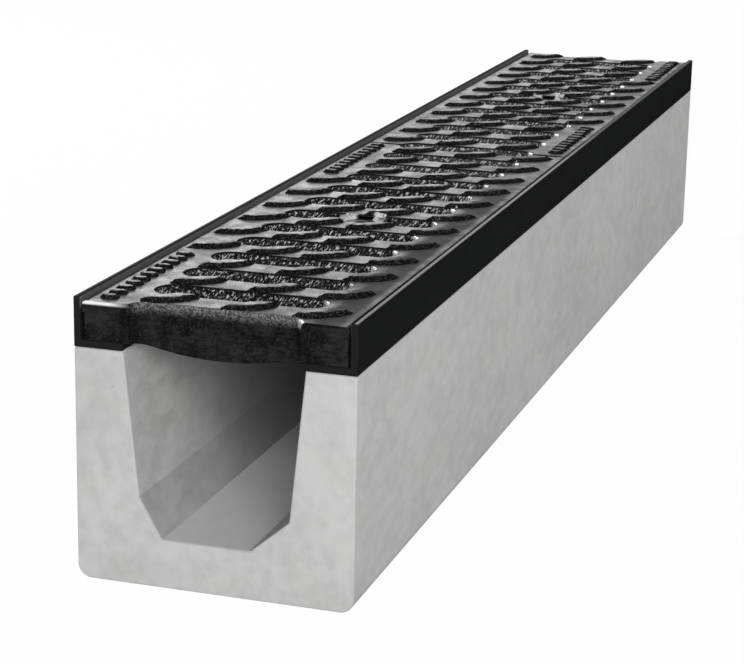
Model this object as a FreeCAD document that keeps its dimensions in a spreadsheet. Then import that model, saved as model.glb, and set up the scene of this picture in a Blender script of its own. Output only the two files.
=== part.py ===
import FreeCAD, Part
import math
import os
import Sketcher
from FreeCAD import Placement, Rotation, Vector

# Concrete channel drain with steel edge rails and two slotted cast iron gratings, in millimetres.
# The channel runs along Y, its width is along X and +Z is up.
# The origin is the middle of the underside, and the front end is at -Y.

SIZES = {
    # Concrete body: its outside, then the section of the water channel
    "channel_length": 1000,
    "channel_width": 160,
    "body_height": 132,
    "base_round": 8,
    "opening_width": 103,
    "shoulder_width": 86,
    "shoulder_left": 51,
    "shoulder_right": 47,
    "floor_height": 28,
    "floor_left": 30,
    "floor_right": 21,
    # Steel angle along each upper edge
    "rail_height": 28,
    "rail_wall": 4,
    "rail_leg": 28,
    "rail_round": 0.8,
    # Strips welded under the rails and cast into the concrete
    "anchor_thickness": 3,
    "anchor_inset": 10,
    "anchor_depth": 35,
    "anchor_foot": 14,
    "anchor_length": 30,
    "anchor_end": 125,
    "anchor_count": 4,
    # Grating: the plate, its feet and the bars that deepen towards the middle
    "grating_thickness": 21.5,
    "grating_round": 1.5,
    "side_gap": 1,
    "end_gap": 1,
    "plate_edge": 6,
    "belly_drop": 7,
    "belly_gap": 2.5,
    "foot_length": 40,
    "foot_inset": 0.8,
    "foot_count": 4,
    # Slots with round ends through the grating: each end of the grating is half a slot
    "slot_count": 12,
    "slot_length": 97,
    "slot_width": 20,
    # Leaf-shaped studs set aslant on the bars, and the columns that they stand in
    "stud_length": 34,
    "stud_width": 16,
    "stud_flank": 10,
    "stud_height": 2.5,
    "stud_draft": 45,
    "stud_tilt": 34,
    "right_outer_stud": 53.5,
    "right_inner_stud": 13,
    "left_inner_stud": 19.5,
    "left_outer_stud": 56.5,
    "left_end_stud": 33,
    "end_bars": 3,
    # Row of small pips along the two stretches of edge that have no studs
    "pip_length": 11,
    "pip_width": 8,
    "pip_height": 2,
    "pip_draft": 20,
    "pip_inset": 11,
    "pip_pitch": 10.5,
    "pip_count": 11,
    "pip_end": 12,
    # Boss that carries the fixing bolt, in the middle slot
    "boss_width": 29,
    "boss_lap": 3,
    "boss_sink": 0.7,
    "boss_thickness": 16,
    "countersink_diameter": 24,
    "hole_gap": 0.5,
    # Fixing bolt and the bar that it pulls up under the rails
    "bolt_diameter": 10,
    "bolt_length": 32,
    "head_diameter": 20,
    "socket_size": 8,
    "socket_depth": 4,
    "bar_length": 116,
    "bar_width": 16,
    "bar_thickness": 6,
    "thread_gap": 0.05,
    "recess_gap": 2,
}

doc = FreeCAD.newDocument("ChannelDrain")
sheet = doc.addObject("Spreadsheet::Sheet", "Sizes")


def fill_sheet():
    """Write each driving size in its own row of the sheet, under its name."""
    for row, (name, size) in enumerate(SIZES.items(), start=1):
        sheet.set(f"A{row}", name)
        sheet.set(f"B{row}", str(size))
        sheet.setAlias(f"B{row}", name)
    doc.recompute()


def bound(expression):
    """The same expression with every size's name pointing at the sheet."""
    words = []
    word = ""
    for letter in expression + " ":
        if letter.isalnum() or letter == "_":
            word += letter
            continue
        words.append(f"Sizes.{word}" if word in SIZES else word)
        words.append(letter)
        word = ""
    return "".join(words).strip()


def read(expression):
    """The number that an expression of sizes gives now."""
    return float(sheet.evalExpression(bound(expression)))


def bind(item, prop, expression):
    item.setExpression(prop, bound(expression))


# Places that several pieces share, as expressions of the sizes
HALF_WIDTH = "channel_width / 2"
SEAT_HEIGHT = "(body_height + rail_wall)"
GRATING_LENGTH = "(channel_length / 2 - end_gap)"
GRATING_HALF = "(channel_width / 2 - rail_wall - side_gap)"
PLATE_UNDERSIDE = "(grating_thickness - plate_edge)"
FOOT_INNER = "(channel_width / 2 - rail_leg)"
SLOT_PITCH = "(channel_length / 2 / slot_count)"
FIRST_BAR = f"(-channel_length / 4 + {SLOT_PITCH} / 2)"
BOSS_TOP = "(grating_thickness - boss_sink)"
HOLE_RADIUS = "(bolt_diameter / 2 + hole_gap)"
HEAD_HEIGHT = "((head_diameter - bolt_diameter) / 2)"
HEAD_TOP = f"({SEAT_HEIGHT} + {BOSS_TOP} - (countersink_diameter - head_diameter) / 2)"
QUARTER_BULGE = "(1 - cos(45 deg))"

HEXAGON_SIDES = 6
SAME_PLACE = 1e-6

# How a sketch numbers the points of an item, its two axes and its origin
START, END, CENTRE = 1, 2, 3
ACROSS_AXIS, UP_AXIS = -1, -2
ORIGIN = (-1, 1)

LEFT, RIGHT = "-1", "1"
FRONT, REAR = "-1", "1"


def origin_feature(body, role):
    return next(item for item in body.Origin.OriginFeatures if item.Role == role)


def new_body(name):
    body = doc.addObject("PartDesign::Body", name)
    body.Label = name
    return body


def new_sketch(body, plane, name, offset="0"):
    """A sketch on one of the body's own planes, moved along the plane's normal."""
    sketch = body.newObject("Sketcher::SketchObject", f"{body.Name}_{name}")
    sketch.AttachmentSupport = [(origin_feature(body, plane), "")]
    sketch.MapMode = "FlatFace"
    bind(sketch, "AttachmentOffset.Base.z", offset)
    return sketch


def pin(sketch, item, end, across, up):
    """Hold one end of a line or an arc at a place that follows the sizes."""
    for kind, axis, expression in (("DistanceX", UP_AXIS, across), ("DistanceY", ACROSS_AXIS, up)):
        place = read(expression)
        if expression == "0":
            sketch.addConstraint(Sketcher.Constraint("PointOnObject", item, end, axis))
            continue
        points = (*ORIGIN, item, end) if place > 0 else (item, end, *ORIGIN)
        signed = expression if place > 0 else f"-({expression})"
        index = sketch.addConstraint(Sketcher.Constraint(kind, *points, abs(place)))
        bind(sketch, f"Constraints[{index}]", signed)


def outline(sketch, corners):
    """A closed outline. A corner is (across, up), or (across, up, bulge) where an arc leaves it.

    The bulge is how far the arc stands out to the right of the straight way to the next corner.
    """
    places = [Vector(read(corner[0]), read(corner[1]), 0) for corner in corners]
    ends = []
    for number, corner in enumerate(corners):
        start = places[number]
        after = (number + 1) % len(corners)
        stop = places[after]
        if len(corner) == 2:
            item = sketch.addGeometry(Part.LineSegment(start, stop))
            ends.append((item, START, END))
            continue
        way = stop - start
        aside = Vector(way.y, -way.x, 0).normalize()
        middle = (start + stop) * 0.5 + aside * read(corner[2])
        item = sketch.addGeometry(Part.Arc(start, middle, stop))
        forward = sketch.getPoint(item, START).isEqual(start, SAME_PLACE)
        ends.append((item, START, END) if forward else (item, END, START))
    for number, corner in enumerate(corners):
        after = (number + 1) % len(corners)
        item, first, last = ends[number]
        sketch.addConstraint(Sketcher.Constraint("Coincident", item, last, ends[after][0], ends[after][1]))
        pin(sketch, item, first, corner[0], corner[1])
        if len(corner) == 3:
            chord = f"((({corners[after][0]}) - ({corner[0]}))^2 + (({corners[after][1]}) - ({corner[1]}))^2)"
            radius = f"abs({chord} / (8 * ({corner[2]})) + ({corner[2]}) / 2)"
            index = sketch.addConstraint(Sketcher.Constraint("Radius", item, read(radius)))
            bind(sketch, f"Constraints[{index}]", radius)


def box_outline(sketch, middle, half):
    """A rectangle about a middle."""
    (x, y), (half_x, half_y) = middle, half
    signs = ((-1, -1), (1, -1), (1, 1), (-1, 1))
    outline(sketch, [(f"{x} + {a} * ({half_x})", f"{y} + {b} * ({half_y})") for a, b in signs])


def slot_outline(sketch, y, half_length, radius):
    """A slot across the channel with full round ends."""
    reach = f"({half_length} - {radius})"
    quarter_turn = math.pi / 2
    arcs = []
    for centre, start in ((reach, -quarter_turn), (f"-{reach}", quarter_turn)):
        rim = Part.Circle(Vector(read(centre), read(y), 0), Vector(0, 0, 1), read(radius))
        arcs.append(sketch.addGeometry(Part.ArcOfCircle(rim, start, start + 2 * quarter_turn)))
        pin(sketch, arcs[-1], CENTRE, centre, y)
    for arc, other in (arcs, arcs[::-1]):
        side = Part.LineSegment(sketch.getPoint(arc, END), sketch.getPoint(other, START))
        line = sketch.addGeometry(side)
        sketch.addConstraint(Sketcher.Constraint("Tangent", arc, END, line, START))
        sketch.addConstraint(Sketcher.Constraint("Tangent", line, END, other, START))
    sketch.addConstraint(Sketcher.Constraint("Equal", *arcs))
    index = sketch.addConstraint(Sketcher.Constraint("Radius", arcs[0], read(radius)))
    bind(sketch, f"Constraints[{index}]", radius)


def circle(sketch, radius):
    """A circle about the sketch's own origin."""
    item = sketch.addGeometry(Part.Circle(Vector(), Vector(0, 0, 1), read(radius)))
    sketch.addConstraint(Sketcher.Constraint("Coincident", item, CENTRE, *ORIGIN))
    index = sketch.addConstraint(Sketcher.Constraint("Radius", item, read(radius)))
    bind(sketch, f"Constraints[{index}]", radius)


def extrude(body, kind, sketch, length, midplane=False, downward=False, draft=None):
    """A Pad or a Pocket of a sketch. A draft narrows it away from the sketch."""
    feature = body.newObject(f"PartDesign::{kind}", f"{sketch.Name}_{kind.lower()}")
    feature.Profile = sketch
    feature.SideType = "Symmetric" if midplane else "One side"
    feature.Reversed = downward
    bind(feature, "Length", length)
    if draft is not None:
        bind(feature, "TaperAngle", f"-({draft}) * 1 deg")
    return feature


def repeat(body, feature, count, spacing):
    """Copies of a feature along the channel, at an even spacing."""
    pattern = body.newObject("PartDesign::LinearPattern", f"{feature.Name}_row")
    pattern.Originals = [feature]
    pattern.Direction = (origin_feature(body, "Y_Axis"), [""])
    pattern.Mode = "Spacing"
    bind(pattern, "Offset", spacing)
    bind(pattern, "Occurrences", count)
    body.Tip = pattern
    return pattern


def anchor_outline(sketch, side):
    """Section of one anchor strip: it hangs from the rail's leg and its foot turns inwards."""
    outer = f"{side} * ({HALF_WIDTH} - anchor_inset)"
    inner = f"{side} * ({HALF_WIDTH} - anchor_inset - anchor_thickness)"
    toe = f"{side} * ({HALF_WIDTH} - anchor_inset - anchor_foot)"
    outline(sketch, [
        (outer, "body_height"),
        (outer, "body_height - anchor_depth"),
        (toe, "body_height - anchor_depth"),
        (toe, "body_height - anchor_depth + anchor_thickness"),
        (inner, "body_height - anchor_depth + anchor_thickness"),
        (inner, "body_height"),
    ])


def anchor_row(body, side, kind):
    """The row of anchors along one side, as strips or as the hollows that hold them."""
    sketch = new_sketch(body, "XZ_Plane", f"anchor_{'left' if side == LEFT else 'right'}",
                        "channel_length / 2 - anchor_end")
    anchor_outline(sketch, side)
    strip = extrude(body, kind, sketch, "anchor_length", midplane=True)
    spacing = "(channel_length - 2 * anchor_end) / (anchor_count - 1)"
    return repeat(body, strip, "anchor_count", spacing)


def make_channel_body():
    body = new_body("channel_body")
    section = new_sketch(body, "XZ_Plane", "section")
    round_bulge = f"base_round * {QUARTER_BULGE}"
    outline(section, [
        (f"-{HALF_WIDTH} + base_round", "0"),
        (f"{HALF_WIDTH} - base_round", "0", round_bulge),
        (HALF_WIDTH, "base_round"),
        (HALF_WIDTH, "body_height"),
        ("opening_width / 2", "body_height"),
        ("shoulder_width / 2", "shoulder_right"),
        ("floor_right", "floor_height"),
        ("-floor_left", "floor_height"),
        ("-shoulder_width / 2", "shoulder_left"),
        ("-opening_width / 2", "body_height"),
        (f"-{HALF_WIDTH}", "body_height"),
        (f"-{HALF_WIDTH}", "base_round", round_bulge),
    ])
    extrude(body, "Pad", section, "channel_length", midplane=True)
    recess = new_sketch(body, "XY_Plane", "lock_recess", "body_height")
    recess_half = ("bar_length / 2 + recess_gap", "bar_width / 2 + recess_gap")
    for end in (FRONT, REAR):
        box_outline(recess, ("0", f"{end} * channel_length / 4"), recess_half)
    extrude(body, "Pocket", recess, "bar_thickness + recess_gap")
    for side in (LEFT, RIGHT):
        anchor_row(body, side, "Pocket")
    return body


def make_rail(name, side):
    body = new_body(name)
    section = new_sketch(body, "XZ_Plane", "section")
    top = "(body_height + rail_height)"
    bulge = f"{side} * rail_round * {QUARTER_BULGE}"
    outline(section, [
        (f"{side} * {HALF_WIDTH}", "body_height"),
        (f"{side} * {HALF_WIDTH}", f"{top} - rail_round", bulge),
        (f"{side} * ({HALF_WIDTH} - rail_round)", top),
        (f"{side} * ({HALF_WIDTH} - rail_wall + rail_round)", top, bulge),
        (f"{side} * ({HALF_WIDTH} - rail_wall)", f"{top} - rail_round"),
        (f"{side} * ({HALF_WIDTH} - rail_wall)", SEAT_HEIGHT),
        (f"{side} * {FOOT_INNER}", SEAT_HEIGHT),
        (f"{side} * {FOOT_INNER}", "body_height"),
    ])
    extrude(body, "Pad", section, "channel_length", midplane=True)
    return body


def make_anchors(name, side):
    body = new_body(name)
    body.AllowCompound = True
    anchor_row(body, side, "Pad")
    return body


def leaf_outline(sketch, x, y):
    """A leaf with straight flanks and pointed tips, turned by the tilt about its middle."""
    corners = []
    for along, aside in (
        ("-stud_flank", "-stud_width"), ("stud_flank", "-stud_width"), ("stud_length", "0"),
        ("stud_flank", "stud_width"), ("-stud_flank", "stud_width"), ("-stud_length", "0"),
    ):
        across = f"{x} + ({along} * cos(stud_tilt * 1 deg) - {aside} * sin(stud_tilt * 1 deg)) / 2"
        up = f"{y} + ({along} * sin(stud_tilt * 1 deg) + {aside} * cos(stud_tilt * 1 deg)) / 2"
        corners.append((across, up))
    outline(sketch, corners)


def add_beam(body):
    """The plate and its bars in one section: deepest in the middle, thin over the rails."""
    section = new_sketch(body, "XZ_Plane", "beam")
    belly = "(opening_width / 2 - belly_gap)"
    bulge = f"grating_round * {QUARTER_BULGE}"
    outline(section, [
        (f"-{belly}", "0", "belly_drop"),
        (belly, "0"),
        (FOOT_INNER, "0"),
        (FOOT_INNER, PLATE_UNDERSIDE),
        (GRATING_HALF, PLATE_UNDERSIDE),
        (GRATING_HALF, "grating_thickness - grating_round", bulge),
        (f"{GRATING_HALF} - grating_round", "grating_thickness"),
        (f"-{GRATING_HALF} + grating_round", "grating_thickness", bulge),
        (f"-{GRATING_HALF}", "grating_thickness - grating_round"),
        (f"-{GRATING_HALF}", PLATE_UNDERSIDE),
        (f"-{FOOT_INNER}", PLATE_UNDERSIDE),
        (f"-{FOOT_INNER}", "0"),
    ])
    extrude(body, "Pad", section, GRATING_LENGTH, midplane=True)


def add_feet(body):
    """The feet that stand on the rails, set in a little from the plate's edge."""
    sketch = new_sketch(body, "XY_Plane", "feet")
    foot_width = f"({GRATING_HALF} - foot_inset - {FOOT_INNER})"
    foot_middle = f"({FOOT_INNER} + {foot_width} / 2)"
    first = f"-{GRATING_LENGTH} / 2 + foot_inset + foot_length / 2"
    for side in (LEFT, RIGHT):
        box_outline(sketch, (f"{side} * {foot_middle}", first), (f"{foot_width} / 2", "foot_length / 2"))
    feet = extrude(body, "Pad", sketch, PLATE_UNDERSIDE)
    spacing = f"({GRATING_LENGTH} - 2 * foot_inset - foot_length) / (foot_count - 1)"
    repeat(body, feet, "foot_count", spacing)


def add_slots(body):
    """Slots right through, so that a row of bars is left between them."""
    sketch = new_sketch(body, "XY_Plane", "slot", "grating_thickness")
    slot_outline(sketch, "-channel_length / 4", "slot_length / 2", "slot_width / 2")
    slot = extrude(body, "Pocket", sketch, "grating_thickness + belly_drop")
    repeat(body, slot, "slot_count + 1", SLOT_PITCH)


def add_boss(body):
    """The bridge across the middle slot, with a countersunk hole for the bolt."""
    sketch = new_sketch(body, "XY_Plane", "boss", BOSS_TOP)
    box_outline(sketch, ("0", "0"), ("boss_width / 2", "slot_width / 2 + boss_lap"))
    extrude(body, "Pad", sketch, "boss_thickness", downward=True)
    hole = new_sketch(body, "XY_Plane", "fixing_hole", BOSS_TOP)
    circle(hole, HOLE_RADIUS)
    extrude(body, "Pocket", hole, "boss_thickness")
    countersink = body.newObject("PartDesign::SubtractiveCone", f"{body.Name}_countersink")
    bind(countersink, "Radius1", HOLE_RADIUS)
    bind(countersink, "Radius2", "countersink_diameter / 2")
    bind(countersink, "Height", f"countersink_diameter / 2 - {HOLE_RADIUS}")
    bind(countersink, "Placement.Base.z", f"{BOSS_TOP} - (countersink_diameter / 2 - {HOLE_RADIUS})")


def stud_row(body, name, columns, first_bar, count):
    """Studs in some columns, on each bar of a run of bars."""
    sketch = new_sketch(body, "XY_Plane", name, "grating_thickness")
    for x in columns:
        leaf_outline(sketch, x, f"{FIRST_BAR} + ({first_bar}) * {SLOT_PITCH}")
    studs = extrude(body, "Pad", sketch, "stud_height", draft="stud_draft")
    repeat(body, studs, count, SLOT_PITCH)


def add_studs(body):
    """Two columns on every bar in the +X half. The -X half has two, but one on the end bars."""
    stud_row(body, "right_studs", ("right_outer_stud", "right_inner_stud"), "0", "slot_count")
    middle_bars = "slot_count - 2 * end_bars"
    stud_row(body, "left_studs", ("-left_inner_stud", "-left_outer_stud"), "end_bars", middle_bars)
    stud_row(body, "front_studs", ("-left_end_stud",), "0", "end_bars")
    stud_row(body, "rear_studs", ("-left_end_stud",), "slot_count - end_bars", "end_bars")


def add_pips(body):
    """Two rows of pips, where the -X edge has no studs."""
    sketch = new_sketch(body, "XY_Plane", "pip", "grating_thickness")
    x = f"-{GRATING_HALF} + pip_inset"
    near = f"-{GRATING_LENGTH} / 2 + pip_end"
    far = f"{GRATING_LENGTH} / 2 - pip_end - (pip_count - 1) * pip_pitch"
    for y in (near, far):
        box_outline(sketch, (x, y), ("pip_length / 2", "pip_width / 2"))
    pip = extrude(body, "Pad", sketch, "pip_height", draft="pip_draft")
    repeat(body, pip, "pip_count", "pip_pitch")


def make_grating(name, end):
    """One casting on the rails. The rear one is the same casting turned end for end."""
    body = new_body(name)
    add_beam(body)
    add_feet(body)
    add_slots(body)
    add_boss(body)
    add_studs(body)
    add_pips(body)
    body.Placement = Placement(Vector(), Rotation(Vector(0, 0, 1), 0 if end == FRONT else 180))
    bind(body, "Placement.Base.y", f"{end} * channel_length / 4")
    bind(body, "Placement.Base.z", SEAT_HEIGHT)
    return body


def make_bolt(name, end):
    """Countersunk bolt with a hexagon socket, its top face at the piece's own origin."""
    head = doc.addObject("Part::Cone", f"{name}_head")
    bind(head, "Radius1", "bolt_diameter / 2")
    bind(head, "Radius2", "head_diameter / 2")
    bind(head, "Height", HEAD_HEIGHT)
    bind(head, "Placement.Base.z", f"-{HEAD_HEIGHT}")
    shank = doc.addObject("Part::Cylinder", f"{name}_shank")
    bind(shank, "Radius", "bolt_diameter / 2")
    bind(shank, "Height", f"bolt_length - {HEAD_HEIGHT}")
    bind(shank, "Placement.Base.z", "-bolt_length")
    socket = doc.addObject("Part::Prism", f"{name}_socket")
    socket.Polygon = HEXAGON_SIDES
    bind(socket, "Circumradius", "socket_size / 2 / cos(30 deg)")
    bind(socket, "Height", "socket_depth")
    bind(socket, "Placement.Base.z", "-socket_depth")
    blank = doc.addObject("Part::Fuse", f"{name}_blank")
    blank.Base = head
    blank.Tool = shank
    bolt = doc.addObject("Part::Cut", name)
    bolt.Label = name
    bolt.Base = blank
    bolt.Tool = socket
    bind(bolt, "Placement.Base.y", f"{end} * channel_length / 4")
    bind(bolt, "Placement.Base.z", HEAD_TOP)
    return bolt


def make_lock_bar(name, end):
    """Flat bar that the bolt pulls up against the undersides of both rails."""
    body = new_body(name)
    sketch = new_sketch(body, "XY_Plane", "bar", "body_height")
    box_outline(sketch, ("0", "0"), ("bar_length / 2", "bar_width / 2"))
    extrude(body, "Pad", sketch, "bar_thickness", downward=True)
    hole = new_sketch(body, "XY_Plane", "threaded_hole", "body_height")
    circle(hole, "bolt_diameter / 2 + thread_gap")
    extrude(body, "Pocket", hole, "bar_thickness")
    bind(body, "Placement.Base.y", f"{end} * channel_length / 4")
    return body


def build():
    fill_sheet()
    pieces = [
        make_channel_body(),
        make_rail("edge_rail_left", LEFT),
        make_rail("edge_rail_right", RIGHT),
        make_anchors("rail_anchors_left", LEFT),
        make_anchors("rail_anchors_right", RIGHT),
    ]
    for place, end in (("front", FRONT), ("rear", REAR)):
        pieces.append(make_grating(f"grating_{place}", end))
        pieces.append(make_bolt(f"lock_bolt_{place}", end))
        pieces.append(make_lock_bar(f"lock_bar_{place}", end))
    doc.recompute()
    return pieces


def write(pieces):
    """Write each piece, once the whole document is known to be sound."""
    for item in doc.Objects:
        if "Invalid" in item.State or "Error" in item.State:
            raise RuntimeError(f"{item.Name} failed: {item.State}")
    for piece in pieces:
        if piece.Shape.isNull() or not piece.Shape.isValid():
            raise RuntimeError(f"{piece.Label} has no sound shape")
    os.makedirs("parts", exist_ok=True)
    for piece in pieces:
        piece.Shape.exportStep(f"parts/{piece.Label}.step")
        print(piece.Label, len(piece.Shape.Solids), "solids", round(piece.Shape.Volume / 1000, 1), "cm3")


write(build())
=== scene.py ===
import math

import bmesh
import bpy
from mathutils import Matrix, Vector, noise


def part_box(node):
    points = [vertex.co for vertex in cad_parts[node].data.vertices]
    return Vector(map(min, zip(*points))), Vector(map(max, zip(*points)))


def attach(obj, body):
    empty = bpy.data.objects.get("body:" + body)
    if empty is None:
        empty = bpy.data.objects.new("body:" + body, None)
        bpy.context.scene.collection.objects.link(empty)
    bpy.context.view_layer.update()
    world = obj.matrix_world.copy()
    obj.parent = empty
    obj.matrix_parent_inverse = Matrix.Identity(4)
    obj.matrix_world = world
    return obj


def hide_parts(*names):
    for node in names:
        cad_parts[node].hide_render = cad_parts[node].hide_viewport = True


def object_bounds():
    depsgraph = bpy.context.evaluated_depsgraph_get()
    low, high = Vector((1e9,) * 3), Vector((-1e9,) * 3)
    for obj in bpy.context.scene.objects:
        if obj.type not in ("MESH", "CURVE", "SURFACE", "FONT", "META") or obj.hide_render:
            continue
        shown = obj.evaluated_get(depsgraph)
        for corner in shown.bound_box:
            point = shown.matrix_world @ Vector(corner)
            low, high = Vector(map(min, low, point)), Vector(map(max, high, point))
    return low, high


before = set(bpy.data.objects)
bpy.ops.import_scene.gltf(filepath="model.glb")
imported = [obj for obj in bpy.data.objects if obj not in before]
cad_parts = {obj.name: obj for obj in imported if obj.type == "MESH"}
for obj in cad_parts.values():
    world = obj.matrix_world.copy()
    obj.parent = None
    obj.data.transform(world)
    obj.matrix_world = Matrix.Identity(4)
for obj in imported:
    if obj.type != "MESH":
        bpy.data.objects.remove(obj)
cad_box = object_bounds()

# Looks of a concrete channel drain with black edge rails and two slotted cast iron gratings.
# Lengths are in metres. The channel runs along Y, its front end is at -Y and +Z is up.
# A pair of values in a finish is a span: its mask goes from 0 at the first to 1 at the second.

MM = 0.001
SAME_PLACE = 0.001 * MM
FLAT_ANGLE = math.radians(1)
SHARP_ANGLE = math.radians(40)

# Channel
CHANNEL_END = cad_box[1][1]
CHANNEL_SHARP = math.radians(15)
CONCRETE_ARRIS = 1.2 * MM
RAIL_ARRIS = 0.4 * MM
RAIL_WALL = 4 * MM
RAIL_INSIDE = cad_box[1][0] - RAIL_WALL
ARRIS_STEPS = 3
ARRIS_ROUND = 0.5

# Gratings: the land that the studs stand on, and the rounded rim of every slot
STUD_HEIGHT = 2.5 * MM
LAND_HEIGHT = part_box("grating_front")[1].z - STUD_HEIGHT
GRATING_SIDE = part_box("grating_front")[1].x
PLATE_ROUND = 1.5 * MM
RIM_RADIUS = 2.2 * MM
RIM_STEPS = 4
RIM_SPACING = 3 * MM
RIM_UNEVEN = 0.22
RIM_WAVE = 9 * MM
RIM_BORDER = 0.8 * MM
RIM_FADE = 5 * MM
MITRE_LIMIT = 0.6
BAR_COUNT = 12
BAR_PITCH = CHANNEL_END / BAR_COUNT

# Leaf-shaped studs, and the columns that they stand in
STUD_LENGTH = 33.5 * MM
STUD_WIDTH = 15.5 * MM
STUD_POINT = 1.5
STUD_TILT = math.radians(34)
STUD_SIDES = 64
STUD_WOBBLE = math.radians(1.5)
STUD_ROUGH = 6 * MM
RIGHT_COLUMNS = (53.5 * MM, 13 * MM)
LEFT_COLUMNS = (-19.5 * MM, -56.5 * MM)
LEFT_END_COLUMN = -33 * MM
END_BARS = 3
# How far each ring of a stud is set in from its outline, and how high it stands
STUD_RINGS = (
    (0.0 * MM, -RIM_RADIUS),
    (0.0 * MM, 0.2 * MM),
    (1.2 * MM, 0.95 * MM),
    (2.4 * MM, 1.65 * MM),
    (3.5 * MM, 2.15 * MM),
    (4.4 * MM, 2.4 * MM),
    (5.6 * MM, 2.48 * MM),
)

# Small pips along the edge that has no studs
PIP_LENGTH = 11 * MM
PIP_WIDTH = 8 * MM
PIP_POINT = 0.6
PIP_TILT = 0.0
PIP_SIDES = 24
PIP_INSET = 11 * MM
PIP_END = 12 * MM
PIP_PITCH = 10.5 * MM
PIP_COUNT = 11
PIP_WOBBLE = math.radians(4)
PIP_ROUGH = 4 * MM
PIP_RINGS = (
    (0.0 * MM, -0.5 * MM),
    (0.0 * MM, 0.2 * MM),
    (0.7 * MM, 1.2 * MM),
    (1.4 * MM, 1.75 * MM),
    (2.3 * MM, 2.0 * MM),
)

# How studs and pips differ from each other
CAST_GRAIN = 2.2 * MM
LEAST_CAST = (0.95, 0.93, 0.93)
LARGEST_CAST = (1.02, 1.03, 1.0)
NOISE_MIDDLE = (0.5, 0.5, 0.5)
SIDEWAYS = (1, 1, 0)
FRONT_SEED = 3
REAR_SEED = 7
ROW_INPUTS = {
    "Points": "Geometry",
    "Form": "Object",
    "Tilt": "Float",
    "Wobble": "Float",
    "Rough": "Float",
    "Seed": "Int",
    "Finish": "Material",
}


class Signal:
    """One output of a node tree, with arithmetic that adds Math nodes."""

    def __init__(self, nodes, output):
        self.nodes = nodes
        self.output = output

    def math(self, operation, first, second=0.0):
        return self.nodes.add("ShaderNodeMath", {"operation": operation}, {0: first, 1: second})

    def __add__(self, other):
        return self.math("ADD", self, other)

    def __radd__(self, other):
        return self.math("ADD", other, self)

    def __sub__(self, other):
        return self.math("SUBTRACT", self, other)

    def __rsub__(self, other):
        return self.math("SUBTRACT", other, self)

    def __mul__(self, other):
        return self.math("MULTIPLY", self, other)

    def __rmul__(self, other):
        return self.math("MULTIPLY", other, self)

    def __or__(self, other):
        return self.math("MAXIMUM", self, other)

    def __abs__(self):
        return self.math("ABSOLUTE", self)


class NodeTree:
    """A node tree that is built up one node at a time."""

    def __init__(self, tree):
        self.tree = tree
        tree.nodes.clear()

    def socket(self, sockets, key):
        """A socket by its number, or by its name among those in use."""
        if isinstance(key, int):
            return sockets[key]
        return next(socket for socket in sockets if socket.enabled and socket.name == key)

    def add(self, kind, settings=None, sockets=None, result=0):
        """Add a node, set it up, fill its sockets and give one of its outputs."""
        node = self.tree.nodes.new(kind)
        for name, value in (settings or {}).items():
            setattr(node, name, value)
        for key, value in (sockets or {}).items():
            socket = self.socket(node.inputs, key)
            if isinstance(value, Signal):
                self.tree.links.new(value.output, socket)
            else:
                socket.default_value = value
        return Signal(self, self.socket(node.outputs, result))

    def end(self, kind, result):
        """Add the node that the tree ends in."""
        node = self.tree.nodes.new(kind)
        self.tree.links.new(result.output, node.inputs[0])


class Shading(NodeTree):
    """The node tree of a material or the world."""

    def __init__(self, owner):
        owner.use_nodes = True
        super().__init__(owner.node_tree)

    def object_place(self):
        return self.add("ShaderNodeTexCoord", result="Object")

    def part_of(self, vector, axis):
        return self.add("ShaderNodeSeparateXYZ", {}, {0: vector}, result=axis)

    def facing(self, axis):
        """How far the surface faces along an axis, from -1 to 1."""
        return self.part_of(self.add("ShaderNodeNewGeometry", result="Normal"), axis)

    def stretched(self, place, scale):
        return self.add("ShaderNodeVectorMath", {"operation": "MULTIPLY"}, {0: place, 1: scale})

    def noise(self, place, grain, detail=2.0, roughness=0.5, distortion=0.0):
        """Cloudy noise between 0 and 1, whose grain is a length."""
        return self.add("ShaderNodeTexNoise", {"noise_dimensions": "3D"}, {
            "Vector": place, "Scale": 1 / grain, "Detail": detail,
            "Roughness": roughness, "Distortion": distortion,
        })

    def step(self, value, span):
        """A smooth step from 0 at the span's first value to 1 at its second."""
        low, high = span
        return self.add("ShaderNodeMapRange", {"interpolation_type": "SMOOTHSTEP"}, {
            "Value": value, "From Min": low, "From Max": high,
        })

    def mix(self, factor, first, second, blend="MIX"):
        return self.add("ShaderNodeMix", {"data_type": "RGBA", "blend_type": blend}, {
            "Factor": factor, "A": first, "B": second,
        }, result="Result")

    def bump(self, height, distance, strength):
        return self.add("ShaderNodeBump", {}, {
            "Height": height, "Distance": distance, "Strength": strength,
        })

    def surface(self, **sockets):
        shader = self.add("ShaderNodeBsdfPrincipled", {}, {
            name.replace("_", " "): value for name, value in sockets.items()
        })
        self.end("ShaderNodeOutputMaterial", shader)


def grey(level, warm=0.0):
    """A grey that leans a little to warm, or to cool below 0."""
    return (level * (1 + warm), level, level * (1 - warm), 1)


def at_least(least, mask):
    """A mask raised so that it goes from the least value to 1."""
    return least + (1 - least) * mask


def shared(share, first, second):
    """A share of the first signal, and the rest of the second."""
    return share * first + (1 - share) * second


# Concrete finish: the grain of its clouds, tints, stains, sand and pores
CONCRETE_BROAD = 140 * MM
CONCRETE_CLOUD = 26 * MM
CONCRETE_SMUDGE = 8 * MM
CONCRETE_TINT = 40 * MM
CONCRETE_BLOT = 15 * MM
CONCRETE_SAND = 1.6 * MM
PORE_SPACING = 17 * MM
PORE_RIM = (0.03, 0.06)
MOULD_STRETCH = (1, 0.5, 1)

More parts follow.
